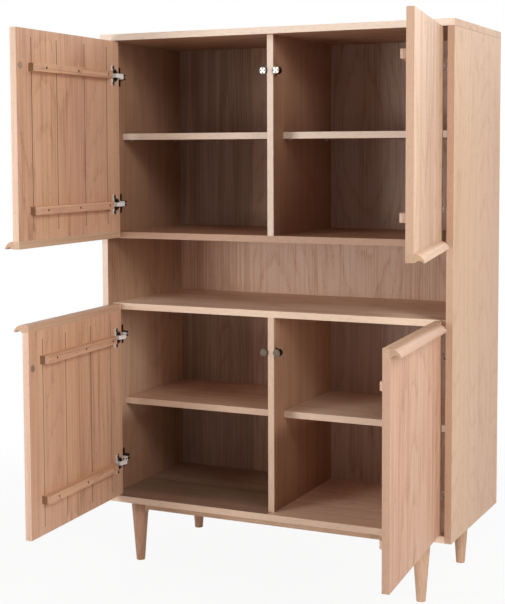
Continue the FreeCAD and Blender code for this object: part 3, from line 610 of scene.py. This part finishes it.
def door_masks(door, side):
    """The masks of a door board: its inner face, its lipped edges and the painted shade inside its kerfs."""
    low, high = (corner.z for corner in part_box(f"{door}_board"))
    below, above = (KERF_STOP_AT_LIP, KERF_STOP) if "upper" in door else (KERF_STOP, KERF_STOP_AT_LIP)

    def inner(place):
        return place[Y].span(INNER_FACE - LIP_SKIN * 2, INNER_FACE - LIP_SKIN)

    def edges(reading, start, end):
        first = reading.fall(start + EDGE_SKIN, start + EDGE_SKIN * 2)
        return first.highest(reading.span(end - EDGE_SKIN * 2, end - EDGE_SKIN))

    def lipping(place):
        sides = edges(place[X] * -side, HINGE_EDGE, HINGE_EDGE + DOOR_WIDTH)
        return sides.highest(edges(place[Z], low, high)) * (LEFT_DOOR_LIPPING if side < 0 else 1.0)

    def kerf(place):
        reach = place[X] * -side
        near, *others = ((reach - (HINGE_EDGE + distance)).size().fall(*KERF_SIDE) for distance in KERFS)
        for band in others:
            near = near.highest(band)
        deep = place[Y].span(*KERF_FLOOR) * place[Y].fall(*KERF_MOUTH)
        start = place[Z].span(low + below - SKIN * 2, low + below - SKIN)
        end = place[Z].fall(high - above + SKIN, high - above + SKIN * 2)
        return near * deep * (start * end)

    return {"inner": inner, "inner_tones": DOOR_OAK, "lipping": lipping, "kerf": kerf,
            "lipping_tone": PALE_LIP if side < 0 else TAN_LIP}


def flange_highlight_half(side):
    """Mask of the painted highlight on the half of a cup's flange that lies away from the hinge edge."""
    return lambda place: (place[X] * -side).span(*FLANGE_HALF)


def hanging(door, side):
    """A door's pivot and the angle at which it stands open."""
    swing = joints[f"{door}_swing"]
    return (*swing["pos_m"][:2], 0.0), math.radians(-swing["range_deg"][0]) * side


for number, (door, side) in enumerate(DOORS.items()):
    pivot, opened = hanging(door, side)
    left = side < 0
    dress(oak(f"oak_{door}", UPRIGHT_FACING_Y, DOOR_STAVE, 20 + number, pivot, opened,
              tone=LEFT_DOOR_TONE if left else RIGHT_DOOR_TONE,
              stave_start=-HINGE_EDGE if left else HINGE_EDGE + DOOR_WIDTH,
              tones=OUTER_OAK if "upper" in door else ROSY_OAK, figure=0.95, **door_masks(door, side)),
          f"{door}_board")
    dress(oak(f"oak_{door}_lip", LEVEL_ALONG_X, LIP_RAIL_STAVE, 24 + number, pivot, opened, tone=0.04,
              ends=0.3), f"{door}_lip_rail")
    # The left doors' battens take the doors' inner tones with dark sawn ends, the right doors' battens the
    # lighter tones: painted light on the right battens.
    dress(oak(f"oak_{door}_battens", BAR_ALONG_X, BAR_STAVE, 28 + number, pivot, opened, tone=-0.02,
              tones=DOOR_OAK if left else LIT_PALE_OAK, ends=0.85 if left else 0.0), f"{door}_battens")
    dress(black_screw, f"{door}_batten_screws")
    dress(strike_metal, f"{door}_strike_disc")
    dress(metal(f"{door}_cup_metal", CUP_DARK_REFLECTION, roughness=0.45, shine=0.3, centre=pivot, turn=opened,
                parts=(flange_highlight_half(side), FLANGE_HIGHLIGHT)), f"{door}_hinge_cups")
    dress(white_reflection_nickel, f"{door}_hinge_links", f"{door}_hinge_arms")
dress(bronze, "hinge_plates")
dress(catch_metal, "door_catches")
dress(magnet_face, "catch_magnets")
dress(nickel, "shelf_pins")
dress(zinc, "leg_bolts")
dress(oak("beech_dowels", LEVEL_ALONG_X, BAR_STAVE, 33, tone=0.1), "carcass_dowels")

# Small pieces added to the cabinet: the hinges' screws and the pads of the upper catches.
# A head's crown, inset and sunk cross are shares of its radius and its rise.
HEAD_SIDES = 24
CROWN_SHARE = 0.86
INSET_SHARE = 0.26
DOME_SHARE = 0.12
CROSS_WAIST_SHARE = 0.45
CROSS_DEPTH_SHARE = 0.7
DIAGONAL_LIMIT = 0.7

# The radius and rise of each kind of head
WING_SCREW = (0.0034, 0.0012)
ARM_SCREW = (0.0032, 0.0010)
FLANGE_SCREW = (0.0036, 0.0012)
PAD_FOOT = (0.0030, 0.0003)
PAD_DISC = (0.0035, 0.0003)
PAD_SPREAD = 0.0068

# Where the heads lie on a hinge: on the plate's wings, on the arm's cap and on the cup's flange
ARM_HALF_HEIGHT = 0.0078
PLATE_FACE = 0.0035
WING_MIDDLE = 0.071
PLATE_SCREW_RISE = 0.0185
ARM_CAP_FACE = 0.0245
ARM_CAP_MIDDLE = 0.053
FLANGE_FACE = 0.0173
FLANGE_MIDDLE = 0.03475
FLANGE_SCREW_RISE = 0.023


AS_IT_STANDS = Matrix()


def cross_head(piece, spot, direction, radius, rise, carried=AS_IT_STANDS):
    """A round head, slightly domed, with a cross sunk in its crown, seated at a spot and facing one way."""
    earlier = set(piece.verts)
    bmesh.ops.create_cone(piece, cap_ends=True, segments=HEAD_SIDES, radius1=radius,
                          radius2=radius * CROWN_SHARE, depth=rise)
    crown = max((face for face in piece.faces if earlier.isdisjoint(face.verts)),
                key=lambda face: face.calc_center_median().z)
    bmesh.ops.inset_region(piece, faces=[crown], thickness=radius * INSET_SHARE, depth=rise * DOME_SHARE)
    for vert in crown.verts:
        if abs(math.cos(2 * math.atan2(vert.co.y, vert.co.x))) < DIAGONAL_LIMIT:
            vert.co.x *= CROSS_WAIST_SHARE
            vert.co.y *= CROSS_WAIST_SHARE
    sunk = bmesh.ops.extrude_face_region(piece, geom=[crown])
    bmesh.ops.delete(piece, geom=[crown], context="FACES_ONLY")
    for vert in sunk["geom"]:
        if isinstance(vert, bmesh.types.BMVert):
            vert.co.z -= rise * CROSS_DEPTH_SHARE
    place = carried @ Matrix.Translation(spot) @ direction.to_track_quat("Z", "Y").to_matrix().to_4x4()
    for vert in set(piece.verts) - earlier:
        vert.co = place @ (vert.co + Vector((0, 0, rise / 2)))


def settle_order(piece):
    """Lists the faces by their corners, so that each run gives the same mesh."""
    piece.verts.index_update()
    listed = sorted(piece.faces, key=lambda face: sorted(vert.index for vert in face.verts))
    ranks = {face: rank for rank, face in enumerate(listed)}
    piece.faces.sort(key=ranks.get)


def made_piece(name, body, material, build):
    """One mesh with its finish, riding on a body and painted from one of the part's slots."""
    piece = bmesh.new()
    build(piece)
    settle_order(piece)
    bmesh.ops.recalc_face_normals(piece, faces=piece.faces)
    mesh = bpy.data.meshes.new(name)
    piece.to_mesh(mesh)
    piece.free()
    mesh.materials.append(material)
    made = bpy.data.objects.new(name, mesh)
    bpy.context.scene.collection.objects.link(made)
    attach(made, body)


def hinge_levels(door):
    """The heights of a door's two hinges, at the middles of its arms."""
    low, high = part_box(f"{door}_hinge_arms")
    return low.z + ARM_HALF_HEIGHT, high.z - ARM_HALF_HEIGHT


def plate_screws(piece):
    """The screws of the plates' wings and the adjusting screws on the capped arms."""
    for door, side in DOORS.items():
        panel = RIGHT_INNER if side > 0 else LEFT_INNER
        inwards = Vector((-side, 0, 0))
        for level in hinge_levels(door):
            for rise in (-PLATE_SCREW_RISE, PLATE_SCREW_RISE):
                spot = Vector((panel - PLATE_FACE * side, PANEL_FRONT + WING_MIDDLE, level + rise))
                cross_head(piece, spot, inwards, *WING_SCREW)
            spot = Vector((panel - ARM_CAP_FACE * side, PANEL_FRONT + ARM_CAP_MIDDLE, level))
            cross_head(piece, spot, inwards, *ARM_SCREW)


def flange_screws(door, side):
    """The two screws in each cup flange of one door."""
    pivot, opened = hanging(door, side)
    hung = Matrix.Translation(pivot) @ Matrix.Rotation(opened, 4, "Z")

    def build(piece):
        for level in hinge_levels(door):
            for rise in (-FLANGE_SCREW_RISE, FLANGE_SCREW_RISE):
                spot = Vector(((HINGE_EDGE + FLANGE_MIDDLE) * -side, FLANGE_FACE, level + rise))
                cross_head(piece, spot, Vector((0, 1, 0)), *FLANGE_SCREW, hung)
    return build


def catch_pads(piece):
    """Four small feet round a middle disc on the face of each upper catch."""
    outwards = Vector((0, -1, 0))
    for side in (-1, 1):
        middle = Vector((CATCH_AXIS * side, CATCH_FRONT, CATCH_LEVEL))
        for quarter in range(4):
            angle = math.pi / 4 + quarter * math.pi / 2
            spot = middle + Vector((math.cos(angle), 0, math.sin(angle))) * PAD_SPREAD
            cross_head(piece, spot, outwards, *PAD_FOOT)
        cross_head(piece, middle, outwards, *PAD_DISC)


made_piece("hinge_plate_screws", "root", bronze, plate_screws)
for door, side in DOORS.items():
    made_piece(f"{door}_flange_screws", door, bronze, flange_screws(door, side))
made_piece("upper_catch_pads", "root", nickel, catch_pads)

# Floor, light and camera
PLAIN_WHITE = (1, 1, 1, 1)
FLOOR_RADIUS = 14.0
FLOOR_COLOUR = srgb(0.86, 0.855, 0.85)
FLOOR_WHITE_NEAR = 0.92
FLOOR_CLEARS = (0.9, 2.2)


def floor_material():
    """A pale dull ground that the camera sees lighter, and plain white away from the cabinet."""
    finish = Finish("pale_floor")
    finish.tree.nodes.remove(finish.shader)
    place = finish.place()
    distance = (place[X] * place[X] + place[Y] * place[Y]).root()
    away = distance.span(*FLOOR_CLEARS, FLOOR_WHITE_NEAR, 1.0)
    ground = finish.node("BsdfDiffuse", {}, {"Color": FLOOR_COLOUR}, "BSDF")
    white = finish.node("Emission", {}, {"Color": PLAIN_WHITE, "Strength": 1.0}, "Emission")
    mixed = finish.node("MixShader", {}, {0: finish.direct_rays() * away, 1: ground, 2: white})
    finish.feed(finish.tree.nodes["Material Output"].inputs["Surface"], mixed)
    return finish.material


bpy.ops.mesh.primitive_circle_add(vertices=64, radius=FLOOR_RADIUS, fill_type="NGON", location=(0, 0, 0))
floor = bpy.context.active_object
floor.name = "floor"
floor.data.materials.append(floor_material())

WARM_WHITE = (1.0, 0.99, 0.975)
MIDDLE = (0.0, -0.2, 0.9)
BACK_MIDDLE = (0.0, 0.2, 0.9)


def lamp(name, place, width, height, power, target=MIDDLE):
    """A soft rectangular lamp aimed at a point."""
    light = bpy.data.lights.new(name, "AREA")
    light.shape = "RECTANGLE"
    light.size, light.size_y = width, height
    light.energy = power
    light.color = WARM_WHITE
    holder = bpy.data.objects.new(name, light)
    bpy.context.scene.collection.objects.link(holder)
    holder.location = place
    holder.rotation_mode = "QUATERNION"
    holder.rotation_quaternion = (Vector(target) - Vector(place)).to_track_quat("-Z", "Y")


# Each lamp's place, its width and height, and its power in watts
lamp("right_lamp", (2.6, -1.7, 1.4), 1.0, 1.2, 22)
lamp("far_right_lamp", (3.6, -0.9, 1.6), 1.2, 1.3, 18)
lamp("high_right_lamp", (2.5, -2.0, 2.6), 1.0, 1.0, 40)
lamp("left_lamp", (-1.3, -2.6, 0.95), 0.9, 0.6, 25)
lamp("high_left_lamp", (-1.2, -2.2, 1.9), 0.9, 0.6, 8)
lamp("back_lamp", (0.5, 3.8, 2.8), 3.2, 2.4, 60, BACK_MIDDLE)

# Plain white is seen round the cabinet, and a soft warm light falls on it from there
SOFT_LIGHT = (1.0, 0.99, 0.98, 1.0)
SOFT_STRENGTH = 0.22

world = bpy.data.worlds.new("studio")
bpy.context.scene.world = world
world.use_nodes = True
studio = Graph(world.node_tree)
studio.tree.nodes.clear()
soft = studio.node("Background", {}, {"Color": SOFT_LIGHT, "Strength": SOFT_STRENGTH})
plain = studio.node("Background", {}, {"Color": PLAIN_WHITE, "Strength": 1.0})
chosen = studio.node("MixShader", {}, {0: studio.direct_rays(), 1: soft, 2: plain})
studio.feed(studio.tree.nodes.new("ShaderNodeOutputWorld").inputs["Surface"], chosen)

# The camera stands in front and to the right, a little above the niche
CAMERA_PLACE = (1.5706, -3.5777, 1.2495)
CAMERA_HEADING = 0.43807
CAMERA_DIP = 0.07265
CAMERA_ROLL = -0.00317
CAMERA_LENS = 77.50
CAMERA_SHIFT = (-0.02536, -0.09218)

camera_data = bpy.data.cameras.new("camera")
camera = bpy.data.objects.new("camera", camera_data)
bpy.context.scene.collection.objects.link(camera)
camera_data.lens = CAMERA_LENS
camera_data.shift_x, camera_data.shift_y = CAMERA_SHIFT
camera.matrix_world = (Matrix.Translation(CAMERA_PLACE)
                       @ Matrix.Rotation(CAMERA_HEADING, 4, "Z")
                       @ Matrix.Rotation(math.pi / 2 - CAMERA_DIP, 4, "X")
                       @ Matrix.Rotation(CAMERA_ROLL, 4, "Z"))
bpy.context.scene.camera = camera
bpy.context.scene.view_settings.view_transform = "Standard"
